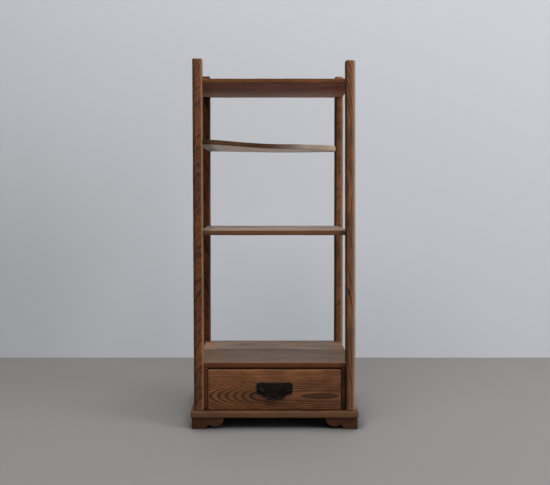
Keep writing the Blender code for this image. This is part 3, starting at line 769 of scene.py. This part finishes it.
def middle_shelf_tones(f, colour, place):
    """The middle shelf is lighter on top, and has painted shade at its left end and its front's right end.
    """
    # Painted shade at the left end, by the rear left post
    left_post_shade = f.spread(place[0], -0.186, -0.164, 0.7, 1.0)
    light = f.product(left_post_shade, f.spread(f.facing[2], 0.5, 0.9, 1.0, 1.12))
    # Painted shadow of the front right post along the right end of the front edge
    front_light = f.spread(place[0], 0.168, 0.184, 0.85, 0.45)
    return warm_front(f, f.shade(colour, light), front_light)


def painted_underside_light(f, colour, place):
    """The top shelf's underside keeps its oil and has painted bounce light, palest towards the rear."""
    under = f.spread(f.facing[2], -0.9, -0.4, 1.0, 0.0)
    rear = f.spread(place[1], -0.02, 0.13, 0.0, 1.0)
    # The underside's oil tint, made lighter as painted bounce light
    oil_and_painted_light = f.shade(f.tint(colour, tone(255, 216, 150)), 1.7)
    # Painted bounce light from the wall, palest towards the rear
    rear_bounce_light = f.shade(f.blend(0.5, colour, tone(196, 160, 136)), 1.28)
    return warm_front(f, f.blend(under, colour, f.blend(rear, oil_and_painted_light, rear_bounce_light)), 0.85)


def painted_light(f, colour, place):
    """The upper board has painted light underneath and towards its free end, and painted shade along its
    left front.
    """
    under = f.spread(f.facing[2], -0.9, -0.4, 0.95, 0.0)
    free = f.product(f.spread(place[0], -0.03, 0.15), 0.65)
    share = f.math("MAXIMUM", under, free)
    streak = f.noise((0.09, 0.02, 0.004), 3.0, 0.6)
    # Painted light: the pale tone stands in for the wall's bounce and reflection underneath, and for the
    # window's light on the free end
    pale = f.shade(tone(232, 216, 202)[:3], f.spread(streak, 0.3, 0.7, 1.25, 0.75))
    pale = f.tint(pale, tone(236, 226, 212), f.spread(place[0], 0.08, 0.16))
    oil_and_painted_light = f.tint(colour, tone(244, 255, 240))
    # Painted shade along the left part of the front
    oil_and_painted_light = f.shade(oil_and_painted_light, f.spread(place[0], -0.06, 0.07, 0.52, 1.0))
    # Painted shade at the left end, by the rear left post
    left_end_shade = f.spread(place[0], -0.185, -0.16, 0.45, 1.0)
    return f.shade(f.blend(share, warm_front(f, oil_and_painted_light, 0.85), pale), left_end_shade)


def make_boards():
    base = make_board("base_board", BASE_EASE, every=True, wear=BASE_WEAR)
    wood = grown_wood("base_wood", "base_board", (0.02, -0.07), light=0.45, wear=0.25, shine=0.15, seed=5.0)
    finish_piece(base, "base_board", wood)

    case_top = make_board("case_top")
    wood = grown_wood("case_top_wood", "case_top", (0.03, -0.06), seed=6.0, dust=0.75, after=case_top_tones)
    finish_piece(case_top, "case_top", wood)

    middle = make_board("middle_shelf")
    wood = grown_wood(
        "middle_wood", "middle_shelf", (0.0, -0.08), seed=7.0, dust=1.0, light=0.65, after=middle_shelf_tones
    )
    finish_piece(middle, "middle_shelf", wood)

    top = make_board("top_shelf", TOP_EASE)
    cut_corners(top)
    wood = grown_wood(
        "top_wood", "top_shelf", (0.05, -0.07), seed=8.0, dust=0.4, light=0.8, shine=0.06, after=painted_underside_light
    )
    finish_piece(top, "top_shelf", wood)

    upper = copy_of("upper_shelf", "worn_upper_shelf")
    slice_up(upper, (MESH_STEP, MESH_STEP, 0))
    weather(upper, BOARD_WEAR)
    low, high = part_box("upper_shelf")
    move(upper, lambda place: True, (lean_at(low.z), 0, 0))
    move(upper, lambda place: place.x < low.x + LIFTED_END, (0, 0, UPPER_LEFT_LIFT), LEFT_LIFT_REACH)
    move(upper, lambda place: place.x > high.x - LIFTED_END, (0, 0, UPPER_RIGHT_LIFT), RIGHT_LIFT_REACH)
    wood = grown_wood(
        "upper_wood", "upper_shelf", (0.02, -0.09), seed=9.0, dust=0.35, wear=0.2, shine=0.12, after=painted_light
    )
    finish_piece(upper, "upper_shelf", wood)


def beside_drawer(node, end_light):
    """A case side's front end beside the drawer is dark end grain, with painted shade along both its joints.
    """
    low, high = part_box(node)

    def darken(f, colour, place):
        from_left = f.math("SUBTRACT", place[0], low.x)
        from_right = f.math("SUBTRACT", high.x, place[0])
        to_joint = f.math("MINIMUM", from_left, from_right)
        # Painted shade close to both joints
        painted_joint_shade = f.spread(to_joint, 0.0006, 0.0034, 0.3 * end_light, end_light)
        return f.blend(f.spread(f.facing[1], -0.9, -0.4, 1.0, 0.0), colour, f.shade(colour, painted_joint_shade))

    return darken


def make_case():
    # end_light darkens each front end: on the left as end grain, and lower on the right as painted shade
    # from the front right post
    for side, seed, end_light in (("left", 10.0, 0.7), ("right", 11.0, 0.42)):
        node = "case_side_" + side
        board = copy_of(node, "worn_" + node)
        slice_up(board, CASE_SIDE_STEPS)
        wood = grown_wood(
            node + "_wood",
            node,
            (0.002, 0.25),
            axis="Y",
            seed=seed,
            wear=0.08,
            light=0.7,
            shine=0.1,
            colours=REDDISH,
            after=beside_drawer(node, end_light),
        )
        finish_piece(board, node, wood)


def heart_depth(f, along):
    """How far the heart line lies behind its nearest place, which is the eye of the figure."""
    curve = f.add("FloatCurve", {"Value": f.spread(along, *HEART_SPAN, smooth=False)})
    points = curve.mapping.curves[0].points
    deepest = HEART_DEPTHS[0][1]
    first, *between, last = [(share, depth / deepest) for share, depth in HEART_DEPTHS]
    points[0].location, points[1].location = first, last
    for share, depth in between:
        points.new(share, depth)
    curve.mapping.update()
    return f.math("MULTIPLY", curve.outputs[0], deepest)


def front_tones_and_painted_light(f, colour, place):
    """The drawer front is lighter in its upper part, with painted light and shade at its rims and right end.
    """
    upper = f.spread(place[2], 0.118, 0.136, 1.0, 1.42)
    # Painted light at the bottom rim, lifting the shade near the base board
    bottom_rim_light = f.spread(place[2], 0.0495, 0.0565, 1.45, 1.0)
    # Painted shade along the top rim, under the case top
    top_rim_shade = f.spread(place[2], 0.1562, 0.1578, 1.0, 0.5)
    # Painted shadow of the front right post at the right end
    right_post_shadow = f.spread(place[0], 0.166, 0.1795, 1.0, 0.78)
    return f.shade(colour, f.product(upper, f.product(bottom_rim_light, top_rim_shade), right_post_shadow))


def make_drawer_front():
    node = "drawer_front"
    front = copy_of(node, "worn_" + node)
    slice_up(front, (MESH_STEP, 0, MESH_STEP))
    wood = grown_wood(
        "drawer_front_wood",
        node,
        (0.042, -0.0180),
        ring=0.0022,
        wander=0.0004,
        ripple=0.0001,
        slip=0.0,
        path=(0, heart_depth),
        phase=0.5,
        unlike=0.2,
        seed=12.0,
        contrast=0.88,
        wear=0.2,
        after=front_tones_and_painted_light,
    )
    finish_piece(front, node, wood)


def make_inside():
    """The drawer's sides, back, bottom and pegs, and the case back: bare wood that was never given oil."""
    pegs = peg_wood()
    for node in frame["nodes"]:
        if node.startswith(("drawer_side", "drawer_back", "drawer_bottom", "case_back")):
            part = copy_of(node, "bare_" + node)
            slice_up(part, (INSIDE_STEP, INSIDE_STEP, INSIDE_STEP))
            wood = grown_wood(node + "_wood", node, (0.004, 0.09), seed=14.0, colours=BARE, wear=0.2)
            finish_piece(part, node, wood)
        elif node.startswith("drawer_peg"):
            peg = frame["nodes"][node]
            peg.data.materials.clear()
            peg.data.materials.append(pegs)


def make_feet():
    feet = [node for node in frame["nodes"] if node.startswith("foot")]
    for k, node in enumerate(feet):
        foot = copy_of(node, "worn_" + node)
        ease(foot, is_corner, FOOT_EASE, segments=2)
        slice_up(foot, (FOOT_STEP, FOOT_STEP, FOOT_STEP))
        wood = grown_wood(
            node + "_wood",
            node,
            (0.03, -0.03),
            lean=(0.0, 0.2),
            axis="Y" if "side" in node else "X",
            seed=20.0 + k,
            colours=DARK,
            wear=0.15,
            shine=0.14,
        )
        finish_piece(foot, node, wood)


def make_handle():
    iron = forged_iron()
    plate = copy_of("handle_plate", "hammered_plate")
    ease(plate, is_corner, PLATE_EASE, segments=2)
    slice_up(plate, (PLATE_STEP, 0, PLATE_STEP))
    weather(plate, PLATE_WEAR)
    finish_piece(plate, "handle_plate", iron, sharp=PLATE_SHARP)
    for node in ("handle_pin_left", "handle_pin_right", "handle_bail"):
        finish_piece(copy_of(node, "forged_" + node), node, iron, sharp=CORNER)


def make_stage():
    bpy.ops.object.select_all(action="DESELECT")
    bpy.ops.mesh.primitive_plane_add(size=STAGE_SIZE)
    floor = bpy.context.object
    floor.name = "stage_floor"
    f = Finish("floor_paint")
    # Painted shade: ambient occlusion darkens the floor's colour where the base is close above it, but not
    # near the wall
    open_share = f.add("AmbientOcclusion", {"Distance": CONTACT_REACH}).outputs["AO"]
    shade = f.spread(open_share, 0.3, 0.9, 0.12, 1.0, smooth=False)
    by_the_wall = f.spread(f.parts(f.place)[1], WALL_Y - 0.2, WALL_Y - 0.1)
    shade = f.math("MAXIMUM", shade, by_the_wall)
    f.feed(f.shader.inputs["Base Color"], f.shade(tone(140, 136, 133)[:3], shade))
    f.shader.inputs["Roughness"].default_value = 0.8
    floor.data.materials.append(f.material)

    bpy.ops.mesh.primitive_plane_add(
        size=STAGE_SIZE, location=(0, WALL_Y, STAGE_SIZE / 2), rotation=(math.pi / 2, 0, 0)
    )
    wall = bpy.context.object
    wall.name = "stage_wall"
    f = Finish("wall_paint")
    f.shader.inputs["Base Color"].default_value = tone(206, 208, 212)
    f.shader.inputs["Roughness"].default_value = 0.9
    clear = f.add("BsdfTransparent")
    back = f.add("NewGeometry").outputs["Backfacing"]
    sides = f.add("MixShader", {0: back, 1: f.shader.outputs[0], 2: clear.outputs[0]})
    f.feed(f.nodes["Material Output"].inputs["Surface"], sides.outputs[0])
    wall.data.materials.append(f.material)


def make_lamp(name, place, aim, size, power, colour=(1.0, 1.0, 1.0)):
    lamp = bpy.data.lights.new(name, "AREA")
    lamp.shape = "RECTANGLE"
    lamp.size, lamp.size_y = size
    lamp.energy = power
    lamp.color = colour
    obj = bpy.data.objects.new(name, lamp)
    obj.location = place
    obj.rotation_euler = (Vector(aim) - Vector(place)).to_track_quat("-Z", "Y").to_euler()
    obj.visible_camera = False
    bpy.context.scene.collection.objects.link(obj)


def make_lamps():
    make_lamp(
        "window",
        place=(4.4, -1.9, 2.3),
        aim=(0.0, 0.0, 0.5),
        size=(2.2, 2.8),
        power=150.0,
        colour=(0.94, 0.97, 1.0),
    )
    make_lamp("room", place=(-0.3, -1.6, 3.4), aim=(0.0, 0.0, 0.4), size=(2.6, 1.2), power=72.0)
    make_lamp(
        "wall_fill",
        place=(0.0, 0.17, 0.20),
        aim=(0.0, WALL_Y, 0.20),
        size=(0.5, 0.36),
        power=0.4,
        colour=(0.9, 0.95, 1.0),
    )


def make_air():
    """The world lights the shelf from above, and looks plain and pale to the camera and in the iron."""
    world = bpy.data.worlds.new("room_air")
    bpy.context.scene.world = world
    world.use_nodes = True
    nodes, links = world.node_tree.nodes, world.node_tree.links
    background = nodes["Background"]
    background.inputs["Color"].default_value = AIR_COLOUR
    height = nodes.new("ShaderNodeSeparateXYZ")
    links.new(nodes.new("ShaderNodeTexCoord").outputs["Generated"], height.inputs[0])
    strength = nodes.new("ShaderNodeMapRange")
    links.new(height.outputs["Z"], strength.inputs["Value"])
    strength.inputs["From Min"].default_value = HORIZON
    strength.inputs["To Min"].default_value = AIR_NEAR_HORIZON
    strength.inputs["To Max"].default_value = AIR_OVERHEAD
    path = nodes.new("ShaderNodeLightPath")
    seen = nodes.new("ShaderNodeMath")
    seen.operation = "MAXIMUM"
    links.new(path.outputs["Is Camera Ray"], seen.inputs[0])
    links.new(path.outputs["Is Glossy Ray"], seen.inputs[1])
    backdrop = nodes.new("ShaderNodeMix")
    backdrop.inputs["B"].default_value = BACKDROP
    links.new(seen.outputs[0], backdrop.inputs["Factor"])
    links.new(strength.outputs[0], backdrop.inputs["A"])
    links.new(backdrop.outputs[0], background.inputs["Strength"])


def make_camera():
    data = bpy.data.cameras.new("camera")
    data.sensor_width = SENSOR_WIDTH
    data.lens = LENS_PIXELS / PICTURE_WIDTH * SENSOR_WIDTH
    data.shift_x = VANISHING_LEFT_OF_CENTRE / PICTURE_WIDTH
    by_looking_down = LENS_PIXELS * math.tan(LOOKS_DOWN)
    data.shift_y = -(VANISHING_ABOVE_CENTRE - by_looking_down) / PICTURE_WIDTH
    camera = bpy.data.objects.new("camera", data)
    camera.location = EYE
    camera.rotation_euler = (math.pi / 2 - LOOKS_DOWN, 0.0, 0.0)
    bpy.context.scene.collection.objects.link(camera)
    bpy.context.scene.camera = camera


bpy.context.scene.view_settings.view_transform = "Standard"
make_camera()
make_lamps()
make_air()
make_stage()
make_posts()
make_boards()
make_case()
make_drawer_front()
make_inside()
make_feet()
make_handle()
